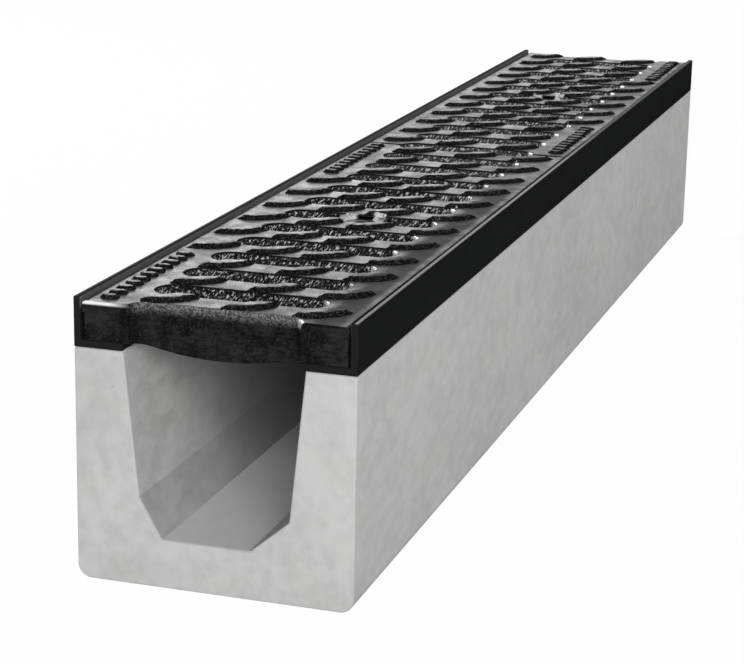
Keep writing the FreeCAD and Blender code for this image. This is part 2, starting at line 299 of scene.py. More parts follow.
# The water way: how its faces point up, and how far it lies from the sides and the ends
BED_UPWARD = (0.95, 0.99)
BAND_UPWARD = (0.2, 0.3)
PAST_BAND = (0.85, 0.95)
PAST_WATER_WAY = (60 * MM, 64 * MM)
BEHIND_END = (2 * MM, 8 * MM)
DEEP_SHADE_RAMP = (10 * MM, 180 * MM)

# Its tones, and how strongly each mark covers them
BROAD_SHARE = 0.3
CLOUD_SHARE = 0.35
SMUDGE_SHARE = 0.35
SAND_SHARE = 0.06
TONE_SPAN = (0.38, 0.68)
TINT_SPAN = (0.35, 0.65)
BLOT_SPAN = (0.42, 0.68)
CONCRETE_DARK = grey(0.515)
CONCRETE_PALE = grey(0.625)
CONCRETE_OLIVE = (0.985, 0.99, 0.968, 1)
CONCRETE_BLUISH = (0.985, 0.987, 1, 1)
PORE_COLOUR = grey(0.3)
PORE_COVER = 0.35
BLOT_COLOUR = (0.335, 0.34, 0.315, 1)
BLOT_COVER = 0.35
# Painted shade that darkens the water way further in from its ends
DEEP_SHADE_COLOUR = grey(0.24)
DEEP_SHADE_COVER = 0.75
# Painted light on every concrete face that points up
BED_LIGHT_COLOUR = grey(0.74)
BED_LIGHT_COVER = 0.75
# Painted shade on the sloping bands of the water way
BAND_SHADE_COLOUR = grey(0.3)
BAND_SHADE_COVER = 0.28
CONCRETE_DULL = 0.82
CLOUD_DULL = 0.1
CONCRETE_SHINE = 0.25
SAND_RELIEF = 0.5
PORE_RELIEF = 0.8
CONCRETE_RELIEF = 0.35 * MM
CONCRETE_BUMP = 0.5


def new_material(name):
    material = bpy.data.materials.new(name)
    return material, Shading(material)


def concrete_finish():
    """Smooth pale concrete with clouds, tints and smudges, a stained water way, painted shade deep inside
    it and on its sloping bands, and painted light on faces that point up.
    """
    material, shade = new_material("pale_concrete")
    place = shade.object_place()
    lengthwise = shade.stretched(place, MOULD_STRETCH)
    broad = shade.noise(place, CONCRETE_BROAD, detail=3, roughness=0.55, distortion=0.4)
    cloud = shade.noise(lengthwise, CONCRETE_CLOUD, detail=4, roughness=0.6, distortion=0.6)
    smudge = shade.noise(lengthwise, CONCRETE_SMUDGE, detail=2, roughness=0.6)
    tint = shade.noise(lengthwise, CONCRETE_TINT, detail=2, distortion=0.5)
    blot = shade.noise(lengthwise, CONCRETE_BLOT, detail=3, roughness=0.6, distortion=0.5)
    sand = shade.noise(place, CONCRETE_SAND, detail=2, roughness=0.7)
    spots = shade.add("ShaderNodeTexVoronoi", {"feature": "F1"}, {
        "Vector": place, "Scale": 1 / PORE_SPACING,
    })
    pores = 1 - shade.step(spots, PORE_RIM)

    # The water way: painted shade makes its sloping bands darker than its walls, and painted light makes
    # faces that point up lighter
    upward = shade.facing("Z")
    bed_light = shade.step(upward, BED_UPWARD)
    band_shade = shade.step(upward, BAND_UPWARD) * (1 - shade.step(upward, PAST_BAND))
    within = 1 - shade.step(abs(shade.part_of(place, "X")), PAST_WATER_WAY)
    from_end = CHANNEL_END - abs(shade.part_of(place, "Y"))
    within = within * shade.step(from_end, BEHIND_END)
    # Painted shade: the water way grows darker further in from its ends, except on faces that point up
    deep_shade = within * shade.step(from_end, DEEP_SHADE_RAMP) * (1 - bed_light)

    mottle = BROAD_SHARE * broad + CLOUD_SHARE * cloud + SMUDGE_SHARE * smudge + SAND_SHARE * sand
    body = shade.mix(shade.step(mottle, TONE_SPAN), CONCRETE_DARK, CONCRETE_PALE)
    tinted = shade.mix(shade.step(tint, TINT_SPAN), CONCRETE_OLIVE, CONCRETE_BLUISH)
    colour = shade.mix(1.0, body, tinted, blend="MULTIPLY")
    colour = shade.mix(pores * PORE_COVER, colour, PORE_COLOUR)
    colour = shade.mix(within * shade.step(blot, BLOT_SPAN) * BLOT_COVER, colour, BLOT_COLOUR)
    colour = shade.mix(deep_shade * DEEP_SHADE_COVER, colour, DEEP_SHADE_COLOUR)
    # Painted light: faces that point up, such as the bed of the water way, are made lighter
    colour = shade.mix(bed_light * BED_LIGHT_COVER, colour, BED_LIGHT_COLOUR)
    relief = shared(SAND_RELIEF, sand, cloud) - PORE_RELIEF * pores
    # The sloping bands of the water way get a painted shade
    shade.surface(
        Base_Color=shade.mix(band_shade * BAND_SHADE_COVER, colour, BAND_SHADE_COLOUR),
        Roughness=CONCRETE_DULL + CLOUD_DULL * cloud,
        Specular_IOR_Level=CONCRETE_SHINE,
        Normal=shade.bump(relief, CONCRETE_RELIEF, CONCRETE_BUMP),
    )
    return material


# Rail finish: its grain, and how its faces point
PAINT_CLOUD = 30 * MM
ROLL_MARK = 2.5 * MM
ROLL_STRETCH = (1, 0.12, 1)
PAINT_PEEL = 1.1 * MM
RAIL_UPWARD = (0.7, 0.95)
FRONT_END_FACING = (0.9, 0.99)

# Where the rails shine on top, and where a grey sheen is painted on their inner faces
RIGHT_HALF = (-1 * MM, 1 * MM)
OUTER_TOP = (RAIL_INSIDE + 1.4 * MM, RAIL_INSIDE + 2 * MM)
RAIL_FAR = (-100 * MM, 150 * MM)
LEFT_RAIL_SHEEN = 0.25
NEAR_SHEEN = 0.45
FAR_SHEEN = 0.15
PAST_INNER_SHEEN = (RAIL_INSIDE + 0.1 * MM, RAIL_INSIDE + 0.5 * MM)
INNER_SHEEN_HEIGHT = (LAND_HEIGHT - 5 * MM, LAND_HEIGHT - 2 * MM)
INNER_SHEEN_LEAST = 0.5

# Its tones, dullness and relief
CLOUD_IN_PAINT = 0.6
PAINT_COOL = -0.04
PAINT_DARK = grey(0.012, PAINT_COOL)
PAINT_PALE = grey(0.02, PAINT_COOL)
# A painted grey sheen for the inner faces
INNER_SHEEN_COLOUR = grey(0.15)
# Painted light on the rail ends that face the front
FRONT_END_LIGHT_COLOUR = grey(0.018)
FRONT_END_LIGHT_COVER = 0.8
PAINT_DULL = 0.42
CLOUD_PAINT_DULL = 0.16
MARK_PAINT_DULL = 0.08
PAINT_COAT_DULL = 0.35
PEEL_SHARE = 0.6
PAINT_RELIEF = 0.08 * MM
PAINT_BUMP = 0.4


def rail_finish():
    """Matt black paint on steel, with a painted grey sheen inside, a faint sheen on top and painted light
    on the ends that face the front.
    """
    material, shade = new_material("black_rail_paint")
    place = shade.object_place()
    across = shade.part_of(place, "X")
    # Painted light: the rail ends that face the front get one lighter grey
    ends = shade.step(0 - shade.facing("Y"), FRONT_END_FACING)
    right = shade.step(across, RIGHT_HALF)
    outer = shade.step(abs(across), OUTER_TOP)
    near = 1 - shade.step(shade.part_of(place, "Y"), RAIL_FAR)
    sheen = at_least(LEFT_RAIL_SHEEN, right) * (NEAR_SHEEN * outer * near + FAR_SHEEN * (1 - near))
    # Painted sheen: the inner faces of the rails are lighter grey near the top
    inner_sheen = 1 - shade.step(abs(across), PAST_INNER_SHEEN)
    inner_sheen = inner_sheen * shade.step(shade.part_of(place, "Z"), INNER_SHEEN_HEIGHT)
    cloud = shade.noise(place, PAINT_CLOUD, detail=3, roughness=0.6)
    marks = shade.noise(shade.stretched(place, ROLL_STRETCH), ROLL_MARK, detail=3)
    peel = shade.noise(place, PAINT_PEEL, detail=1)
    paint = shade.mix(shared(CLOUD_IN_PAINT, cloud, marks), PAINT_DARK, PAINT_PALE)
    paint = shade.mix(inner_sheen * at_least(INNER_SHEEN_LEAST, marks), paint, INNER_SHEEN_COLOUR)
    shade.surface(
        Base_Color=shade.mix(ends * FRONT_END_LIGHT_COVER, paint, FRONT_END_LIGHT_COLOUR),
        Roughness=PAINT_DULL + CLOUD_PAINT_DULL * cloud + MARK_PAINT_DULL * marks,
        Specular_IOR_Level=0.0,
        Coat_Weight=sheen * shade.step(shade.facing("Z"), RAIL_UPWARD),
        Coat_Roughness=PAINT_COAT_DULL,
        Normal=shade.bump(shared(PEEL_SHARE, peel, marks), PAINT_RELIEF, PAINT_BUMP),
    )
    return material


# Iron finish: its grain
IRON_STREAK = 1.8 * MM
STREAK_STRETCH = (0.25, 1, 1)
IRON_BLOTCH = 14 * MM
IRON_SAND = 1.1 * MM
IRON_PIT = 2.4 * MM
PIT_RIM = (0.56, 0.7)

# How its faces point, how high they lie, and how far along the channel
FLAT_SAND = 0.06
FLAT_UPWARD = (0.96, 1.02)
PAST_WALL = (0.25, 0.8)
UPPER_WALL = (LAND_HEIGHT - 9 * MM, LAND_HEIGHT - 3 * MM)
WALL_TOP = (LAND_HEIGHT - 5.5 * MM, LAND_HEIGHT - 3 * MM)
PAST_WALL_TOP = (LAND_HEIGHT - 1 * MM, LAND_HEIGHT - 0.2 * MM)
STUD_FLANK = (LAND_HEIGHT + 0.3 * MM, LAND_HEIGHT + 0.8 * MM)
PAST_FIRST_BAR = (11 * MM - CHANNEL_END, 16 * MM - CHANNEL_END)
IRON_FAR = (-180 * MM, -40 * MM)

# The painted highlight along the crest of the first bar
CREST_HEIGHT = (LAND_HEIGHT - 7 * MM, LAND_HEIGHT)
PAST_CREST = (LAND_HEIGHT, LAND_HEIGHT + 0.2 * MM)
BESIDE_CREST = (45 * MM, 50 * MM)
CREST_SAND = (0.4, 0.6)
CREST_LEAST = 0.2

# The dull strip beside the right rail, with a brighter lip and a dark edge
STRIP_START = (50 * MM, 58 * MM)
STRIP_LIP = (68 * MM, 71.5 * MM)
LIP_SHINE = 0.5
LIP_EDGE = (GRATING_SIDE - 1.3 * MM, GRATING_SIDE - 0.4 * MM)
STRIP_DULL = 0.85

# Painted glints: bright grains on the slot walls, which show as slanting strokes
GRAIN_SLANT = math.radians(50)
GRAIN_STRETCH = (2.2, 1, 0.7)
GRAIN_SIZE = 1.3 * MM
GRAIN_RIM = (0.565, 0.655)
FINE_GRAIN = (0.5, 0.65)
FINE_GRAIN_SHARE = 0.15

# Painted highlights and glints at the right ends of the slots, beside the bolts and along one front edge
SLOT_END = (43.5 * MM, 46 * MM)
PAST_SLOT_END = (48.5 * MM, 50 * MM)
SLOT_END_FACING = (0.2, 0.5)
SLOT_END_BLOTCH = 0.7
SLOT_END_PATCH = (0.32, 0.5)
SLOT_END_SAND = (0.35, 0.6)
SLOT_END_LEAST = 0.3
SLOT_END_METAL = 0.9
BOLT_PLACE = CHANNEL_END / 2
PAST_SEAT = (12.5 * MM, 13.5 * MM)
SEAT_SAND = (0.25, 0.6)
SEAT_HEIGHT = (LAND_HEIGHT - 9 * MM, LAND_HEIGHT - 7 * MM)
BESIDE_BOLT = (4.5 * MM, 6.5 * MM)
SEAT_COVER = 0.8
PAST_FRONT_EDGE = (1.5 * MM - CHANNEL_END, 3 * MM - CHANNEL_END)
FRONT_EDGE_HEIGHT = (LAND_HEIGHT - 2 * MM, LAND_HEIGHT - 0.8 * MM)
BESIDE_FRONT_EDGE = (-62 * MM, -46 * MM)

# The colours of the cast skin, and how strongly each mark covers them
IRON_COOL = -0.02
IRON_BLACK = grey(0.006, IRON_COOL)
LAND_COLOUR = grey(0.08, IRON_COOL)
LAND_LEAST = 0.4
SKIN_COLOUR = grey(0.035, IRON_COOL)
SKIN_SAND = (0.45, 0.7)
SKIN_COVER = 0.6
MOTTLE_BLOTCH = 0.6
MOTTLE_SPAN = (0.4, 0.65)
MOTTLE_LEAST = 0.3
MOTTLE_COVER = 0.8
# Painted glints on the stud flanks
FLANK_GLINT_COLOUR = grey(0.12)
FLANK_SAND = (0.55, 0.68)
FLANK_COVER = 0.6
# A painted highlight on the crest of the first bar
CREST_HIGHLIGHT_COLOUR = grey(0.24)
# A lighter grey for the upper slot walls away from the front end
FAR_WALL_COLOUR = grey(0.2)
FAR_WALL_COVER = 0.15
# Painted glints on the slot walls
GLINT_GRAIN_COLOUR = grey(0.6)
# The white of the painted highlights at the slot ends, the countersinks and one front edge
HIGHLIGHT_COLOUR = grey(0.95)

# Its gloss, dullness and relief
GLOSS_BLOTCH = (0.3, 0.7)
GLOSS_BLOTCH_LEAST = 0.4
GLOSS_SAND = (0.32, 0.58)
GLOSS_SAND_LEAST = 0.5
PIT_DULL = 0.45
FAR_GLOSS = 0.7
RIGHT_SIDE = (0, 40 * MM)
RIGHT_DULL = 0.32
IRON_COAT_DULL = 0.3
SKIN_ROUGH = 0.48
LAND_SMOOTH = 0.16
STREAK_ROUGH = 0.22
PIT_ROUGH = 0.2
BLOTCH_ROUGH = 0.06
LAND_SAND_RELIEF = 0.3
STREAK_RELIEF = 0.3
PIT_RELIEF = 0.5
IRON_RELIEF = 0.7 * MM
IRON_BUMP = 0.8


class CastIron(Shading):
    """Black cast iron: satin where it faces up, sandy along the top of its walls, with painted glints and
    highlights.
    """

    def __init__(self, material):
        super().__init__(material)
        self.place = self.object_place()
        self.across = self.part_of(self.place, "X")
        self.along = self.part_of(self.place, "Y")
        self.height = self.part_of(self.place, "Z")
        self.upward = self.facing("Z")
        along_bars = self.stretched(self.place, STREAK_STRETCH)
        self.streak = self.noise(along_bars, IRON_STREAK, detail=4, roughness=0.7)
        self.blotch = self.noise(self.place, IRON_BLOTCH, detail=3, roughness=0.6)
        self.sand = self.noise(self.place, IRON_SAND, detail=2, roughness=0.6)
        self.pits = self.step(self.noise(self.place, IRON_PIT, detail=2, roughness=0.6), PIT_RIM)
        self.flat = self.step(self.upward + FLAT_SAND * self.sand, FLAT_UPWARD)
        self.wall = 1 - self.step(self.upward, PAST_WALL)
        self.inside = self.step(self.along, PAST_FIRST_BAR)
        self.near = 1 - self.step(self.along, IRON_FAR)

    def slot_wall(self):
        """The sandy upper part of a wall, up to just below the land."""
        below = 1 - self.step(self.height, PAST_WALL_TOP)
        return self.wall * self.step(self.height, UPPER_WALL) * below

    def painted_glint_grains(self):
        slanted = self.add("ShaderNodeMapping", {"vector_type": "TEXTURE"}, {
            "Vector": self.place, "Rotation": (0, -GRAIN_SLANT, 0), "Scale": GRAIN_STRETCH,
        })
        flecks = self.step(self.noise(slanted, GRAIN_SIZE, detail=1), GRAIN_RIM)
        return flecks + FINE_GRAIN_SHARE * self.step(self.sand, FINE_GRAIN)

    # A painted highlight on the upper front of the first bar, where its rounded edge would catch the light
    def painted_crest_highlight(self):
        crest_light = self.step(self.height, CREST_HEIGHT) * (1 - self.inside) * (1 - self.flat)
        crest_light = crest_light * (1 - self.step(self.height, PAST_CREST))
        return crest_light * (1 - self.step(abs(self.across), BESIDE_CREST))

    # Painted glints at the right ends of the slots, white and metallic
    def painted_slot_end_glint(self):
        patch = self.step(shared(SLOT_END_BLOTCH, self.blotch, self.sand), SLOT_END_PATCH)
        patch = patch * at_least(SLOT_END_LEAST, self.step(self.sand, SLOT_END_SAND))
        end = self.step(self.across, SLOT_END) * (1 - self.step(self.across, PAST_SLOT_END))
        end = end * self.step(0 - self.facing("X"), SLOT_END_FACING)
        return end * self.step(self.height, WALL_TOP) * patch

    def painted_seat_highlight(self):
        """A painted highlight on the countersink, to the left and right of the bolt."""
        from_bolt = abs(abs(self.along) - BOLT_PLACE) | abs(self.across)
        seat = (1 - self.step(from_bolt, PAST_SEAT)) * (1 - self.flat)
        seat = seat * self.step(self.sand, SEAT_SAND) * self.step(self.height, SEAT_HEIGHT)
        return seat * self.step(abs(self.across), BESIDE_BOLT) * SEAT_COVER

    # A painted highlight along the top front edge of the left pad
    def painted_front_edge_highlight(self):
        edge = 1 - self.step(self.along, PAST_FRONT_EDGE)
        edge = edge * self.step(self.height, FRONT_EDGE_HEIGHT)
        return edge * (1 - self.step(self.across, BESIDE_FRONT_EDGE))

    def skin_colour(self):
        """The cast skin with its marks, painted glints and the painted crest highlight, before the other
        painted highlights.
        """
        mottle = self.step(shared(MOTTLE_BLOTCH, self.blotch, self.streak), MOTTLE_SPAN)
        mottle = mottle * self.wall * at_least(MOTTLE_LEAST, 1 - self.inside)
        # Painted glints: light specks on the stud flanks
        flank_glints = self.step(self.height, STUD_FLANK) * (1 - self.flat) * self.step(self.sand, FLANK_SAND)
        crest_light = self.painted_crest_highlight() * at_least(CREST_LEAST, self.step(self.sand, CREST_SAND))
        walls = self.slot_wall()
        skin = (1 - self.flat) * self.step(self.sand, SKIN_SAND)
        colour = self.mix(self.flat * at_least(LAND_LEAST, self.streak), IRON_BLACK, LAND_COLOUR)
        colour = self.mix(skin * SKIN_COVER, colour, SKIN_COLOUR)
        colour = self.mix(mottle * MOTTLE_COVER, colour, SKIN_COLOUR)
        colour = self.mix(flank_glints * FLANK_COVER, colour, FLANK_GLINT_COLOUR)
        colour = self.mix(crest_light, colour, CREST_HIGHLIGHT_COLOUR)
        # The upper slot walls are lighter grey away from the front end
        colour = self.mix((1 - self.near) * walls * FAR_WALL_COVER, colour, FAR_WALL_COLOUR)
        # Painted glints along the upper slot walls
        return self.mix(self.painted_glint_grains() * walls * self.inside, colour, GLINT_GRAIN_COLOUR)

    def gloss(self):
        """The satin land, dull beside the right rail near the front and dark at its very edge."""
        strip = self.step(self.across, STRIP_START) * self.near
        strip = strip * (1 - LIP_SHINE * self.step(self.across, STRIP_LIP))
        gloss = self.flat * at_least(GLOSS_BLOTCH_LEAST, self.step(self.blotch, GLOSS_BLOTCH))
        gloss = gloss * (1 - PIT_DULL * self.pits)
        gloss = gloss * at_least(GLOSS_SAND_LEAST, self.step(self.sand, GLOSS_SAND))
        gloss = gloss * at_least(FAR_GLOSS, self.near)
        gloss = gloss * (1 - RIGHT_DULL * self.step(self.across, RIGHT_SIDE))
        return gloss * (1 - STRIP_DULL * strip) * (1 - self.step(self.across, LIP_EDGE))

    def dullness(self):
        on_land = STREAK_ROUGH * self.streak + PIT_ROUGH * self.pits - LAND_SMOOTH
        return SKIN_ROUGH + self.flat * on_land + BLOTCH_ROUGH * self.blotch

    def relief(self):
        on_land = STREAK_RELIEF * self.streak - PIT_RELIEF * self.pits
        return self.sand * at_least(LAND_SAND_RELIEF, self.wall) + self.flat * on_land


def iron_finish():
    material = bpy.data.materials.new("black_cast_iron")
    iron = CastIron(material)
    # Painted highlights and glints, laid on in white
    slot_end_glint = iron.painted_slot_end_glint()
    painted_highlights = slot_end_glint | iron.painted_seat_highlight() | iron.painted_front_edge_highlight()
    iron.surface(
        Base_Color=iron.mix(painted_highlights, iron.skin_colour(), HIGHLIGHT_COLOUR),
        Roughness=iron.dullness(),
        Metallic=SLOT_END_METAL * slot_end_glint,
        Specular_IOR_Level=0.0,
        Coat_Weight=iron.gloss(),
        Coat_Roughness=IRON_COAT_DULL,
        Normal=iron.bump(iron.relief(), IRON_RELIEF, IRON_BUMP),
    )
    return material


# Steel finish: its grain, tone and relief
STEEL_CLOUD = 8 * MM
STEEL_MARK = 0.8 * MM
STEEL_STRETCH = (1, 0.15, 1)
STEEL_DARKEST = 0.75
CLOUD_STEEL_DULL = 0.15
MARK_STEEL_DULL = 0.08
STEEL_METAL = 0.85
MARK_METAL = 0.1
STEEL_RELIEF = 0.05 * MM
STEEL_BUMP = 0.4
ANCHOR_LEVEL = 0.35
ANCHOR_DULL = 0.5
BOLT_LEVEL = 0.08
BOLT_DULL = 0.42


def steel_finish(name, level, dullness):
    """Rolled or blackened steel with fine marks along it."""
    material, shade = new_material(name)
    place = shade.object_place()
    cloud = shade.noise(place, STEEL_CLOUD, detail=3, roughness=0.6)
    marks = shade.noise(shade.stretched(place, STEEL_STRETCH), STEEL_MARK, detail=3)
    shade.surface(
        Base_Color=shade.mix(cloud, grey(level * STEEL_DARKEST), grey(level)),
        Roughness=dullness + CLOUD_STEEL_DULL * cloud + MARK_STEEL_DULL * marks,
        Metallic=STEEL_METAL + MARK_METAL * marks,
        Normal=shade.bump(marks, STEEL_RELIEF, STEEL_BUMP),
    )
    return material


def new_object(name, data):
    thing = bpy.data.objects.new(name, data)
    bpy.context.scene.collection.objects.link(thing)
    return thing


def new_piece(name, mesh, finish, node, sharp):
    """A finished mesh that stands for a CAD node and takes one of the finishes."""
    mesh.materials.clear()
    mesh.materials.append(finish)
    mesh.shade_smooth()
    mesh.set_sharp_from_angle(angle=sharp)
    piece = new_object(name, mesh)
    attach(piece, "root")
    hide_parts(node)


def merged_copy(node):
    """A node's mesh with its loose triangles joined up."""
    shell = bmesh.new()
    shell.from_mesh(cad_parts[node].data)
    bmesh.ops.remove_doubles(shell, verts=shell.verts, dist=SAME_PLACE)
    return shell


def to_mesh(shell, name):
    """A plain mesh of a shell, without the normals that a CAD mesh brings along."""
    mesh = bpy.data.meshes.new(name)
    shell.to_mesh(mesh)
    shell.free()
    kept_normals = mesh.attributes.get("custom_normal")
    if kept_normals:
        mesh.attributes.remove(kept_normals)
    return mesh


def join_flat_faces(shell):
    bmesh.ops.dissolve_limit(shell, angle_limit=FLAT_ANGLE, verts=shell.verts, edges=shell.edges)


def softened_copy(node, arris, finish):
    """A long piece with the sharp edges of its two ends taken off."""
    shell = merged_copy(node)
    join_flat_faces(shell)
    ends = [
        edge for edge in shell.edges
        if all(abs(abs(vert.co.y) - CHANNEL_END) < SAME_PLACE for vert in edge.verts)
        and edge.calc_face_angle(0) > SHARP_ANGLE
    ]
    bmesh.ops.bevel(
        shell, geom=ends, offset=arris, segments=ARRIS_STEPS, profile=ARRIS_ROUND,
        affect="EDGES", clamp_overlap=False,
    )
    new_piece(f"{node}_dressed", to_mesh(shell, node), finish, node, CHANNEL_SHARP)


def boundary_loops(shell):
    """The open edges of a shell as closed rings of vertices, in order."""
    left = {edge for edge in shell.edges if edge.is_boundary}
    loops = []
    while left:
        edge = left.pop()
        loop = [edge.verts[0], edge.verts[1]]
        while True:
            last = loop[-1]
            edge = next((link for link in last.link_edges if link in left), None)
            if edge is None:
                break
            left.remove(edge)
            loop.append(edge.other_vert(last))
        loops.append(loop[:-1])
    return loops


def inward(vert):
    """The way in plan from an open edge to the metal behind it, with mitred corners."""
    walls = [edge.link_faces[0].normal for edge in vert.link_edges if edge.is_boundary]
    ways = [Vector((-wall.x, -wall.y, 0)).normalized() for wall in walls]
    total = sum(ways, Vector()).normalized()
    return total / max(total.dot(ways[0]), MITRE_LIMIT)


def rim_radius(vert, plate_edge):
    """The uneven radius of a cast rim, fading out where the plate's long edge is already round."""
    uneven = 1 + RIM_UNEVEN * noise.noise(vert.co / RIM_WAVE)
    fade = min(1, max(0, plate_edge - abs(vert.co.x)) / RIM_FADE)
    return RIM_RADIUS * uneven * fade


def next_to(ring, number):
    return ring[(number + 1) % len(ring)]


def close_band(shell, low, high):
    """Faces between two rings of as many vertices."""
    for number in range(len(low)):
        shell.faces.new((low[number], next_to(low, number), next_to(high, number), high[number]))


def rounded_rim(shell, loop, plate_edge):
    """Carry the wall under an open edge over into the land by a quarter round; give the last ring."""
    ways = [inward(vert) for vert in loop]
    radii = [rim_radius(vert, plate_edge) for vert in loop]
    turns = [(step + 1) / RIM_STEPS * math.pi / 2 for step in range(RIM_STEPS)]
    steps = [(1 - math.cos(turn), math.sin(turn), 0) for turn in turns] + [(1, 1, RIM_BORDER)]
    feet = [Vector((vert.co.x, vert.co.y, LAND_HEIGHT - radius)) for vert, radius in zip(loop, radii)]
    for vert, foot in zip(loop, feet):
        vert.co = foot
    ring = loop
    for across, up, border in steps:
        above = []
        for foot, way, radius in zip(feet, ways, radii):
            rise = Vector((0, 0, radius * up))
            above.append(shell.verts.new(foot + way * (radius * across + border) + rise))
        close_band(shell, ring, above)
        ring = above
    return ring


def cut_long_edges(shell):
    """Divide the long open edges across the grating, so that their rims can be uneven."""
    for edge in [edge for edge in shell.edges if edge.is_boundary]:
        length = edge.calc_length()
        if length > 2 * RIM_SPACING and abs(edge.verts[0].co.y - edge.verts[1].co.y) < length / 2:
            bmesh.ops.subdivide_edges(shell, edges=[edge], cuts=int(length / RIM_SPACING))
    shell.normal_update()


def cast_plate(node):
    """A grating without its studs and pips, its slots and ends rounded over as a casting's are."""
    shell = merged_copy(node)
    top = [face for face in shell.faces if min(v.co.z for v in face.verts) > LAND_HEIGHT - SAME_PLACE]
    bmesh.ops.delete(shell, geom=top, context="FACES")
    join_flat_faces(shell)
    cut_long_edges(shell)
    plate_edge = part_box(node)[1].x - PLATE_ROUND
    land_edges = []
    for loop in boundary_loops(shell):
        ring = rounded_rim(shell, loop, plate_edge)
        shell.edges.ensure_lookup_table()
        for number, vert in enumerate(ring):
            land_edges.append(shell.edges.get((vert, next_to(ring, number))))
    bmesh.ops.triangle_fill(shell, use_beauty=True, edges=land_edges, normal=(0, 0, 1))
    bmesh.ops.remove_doubles(shell, verts=shell.verts, dist=SAME_PLACE)
    bmesh.ops.dissolve_degenerate(shell, dist=SAME_PLACE, edges=shell.edges)
    bmesh.ops.recalc_face_normals(shell, faces=shell.faces)
    return to_mesh(shell, f"{node}_plate")


def raised_form(name, length, width, point, sides, rings):
    """A low leaf-shaped mound at the origin, open underneath, built up in rings."""
    shell = bmesh.new()
    levels = []
    for inset, height in rings:
        level = []
        for side in range(sides):
            turn = 2 * math.pi * side / sides
            bulge = math.copysign(abs(math.sin(turn)) ** point, math.sin(turn))
            level.append(shell.verts.new((
                (length / 2 - inset) * math.cos(turn), (width / 2 - inset) * bulge, height,
            )))
        levels.append(level)
    for low, high in zip(levels, levels[1:]):
        close_band(shell, low, high)
    shell.faces.new(levels[-1])
    return new_object(name, to_mesh(shell, name))


def raised_row_tree():
    """A tree that sets one cast form on every point, each turned and sized a little differently."""
    group = bpy.data.node_groups.new("raised_row", "GeometryNodeTree")
    for name, kind in ROW_INPUTS.items():
        group.interface.new_socket(name, in_out="INPUT", socket_type=f"NodeSocket{kind}")
    group.interface.new_socket("Row", in_out="OUTPUT", socket_type="NodeSocketGeometry")
    row = NodeTree(group)
    given = {name: row.add("NodeGroupInput", result=name) for name in ROW_INPUTS}
    form = row.add("GeometryNodeObjectInfo", {}, {"Object": given["Form"]}, result="Geometry")
    angle = row.add("FunctionNodeRandomValue", {"data_type": "FLOAT"}, {
        "Min": given["Tilt"] - given["Wobble"], "Max": given["Tilt"] + given["Wobble"],
        "Seed": given["Seed"],
    }, result="Value")
    size = row.add("FunctionNodeRandomValue", {"data_type": "FLOAT_VECTOR"}, {
        "Min": LEAST_CAST, "Max": LARGEST_CAST, "Seed": given["Seed"],
    }, result="Value")
    turn = row.add("ShaderNodeCombineXYZ", {}, {"Z": angle})
    spread = row.add("GeometryNodeInstanceOnPoints", {}, {
        "Points": given["Points"], "Instance": form,
        "Rotation": row.add("FunctionNodeEulerToRotation", {}, {0: turn}), "Scale": size,
    })
    real = row.add("GeometryNodeRealizeInstances", {}, {0: spread})

    # The outline is shifted sideways by noise, as a rough casting's is
    skin = row.add("ShaderNodeTexNoise", {}, {"Scale": 1 / CAST_GRAIN}, result="Color")
    shift = row.add("ShaderNodeVectorMath", {"operation": "SUBTRACT"}, {0: skin, 1: NOISE_MIDDLE})
    shift = row.add("ShaderNodeVectorMath", {"operation": "MULTIPLY"}, {0: shift, 1: SIDEWAYS})
    shift = row.add("ShaderNodeVectorMath", {"operation": "SCALE"}, {0: shift, "Scale": given["Rough"]})
    cast = row.add("GeometryNodeSetPosition", {}, {"Geometry": real, "Offset": shift})
    row.end("NodeGroupOutput", row.add("GeometryNodeSetMaterial", {}, {
        "Geometry": cast, "Material": given["Finish"],
    }))
    return group


def raised_row(tree, points, **values):
    """The forms on a list of points, as one plain mesh."""
    mesh = bpy.data.meshes.new("row_points")
    mesh.from_pydata(points, [], [])
    holder = new_object("row_points", mesh)
    modifier = holder.modifiers.new("raised_row", "NODES")
    modifier.node_group = tree
    for item in tree.interface.items_tree:
        if item.in_out == "INPUT" and item.name in values:
            modifier[item.identifier] = values[item.name]
    shown = holder.evaluated_get(bpy.context.evaluated_depsgraph_get())
    made = bpy.data.meshes.new_from_object(shown)
    bpy.data.objects.remove(holder)
    return made


def stud_points():
    """Four studs on each middle bar, and three on the bars at both ends."""
    points = []
    for bar in range(BAR_COUNT):
        at_end = not END_BARS <= bar < BAR_COUNT - END_BARS
        left = (LEFT_END_COLUMN,) if at_end else LEFT_COLUMNS
        y = (bar - (BAR_COUNT - 1) / 2) * BAR_PITCH
        points += [(x, y, 0) for x in RIGHT_COLUMNS + left]
    return points


def pip_points(half_width, half_length):
    """Two rows of pips on the bare ends of the -X edge."""
    points = []
    for number in range(PIP_COUNT):
        y = half_length - PIP_END - number * PIP_PITCH
        points += [(PIP_INSET - half_width, y, 0), (PIP_INSET - half_width, -y, 0)]
    return points


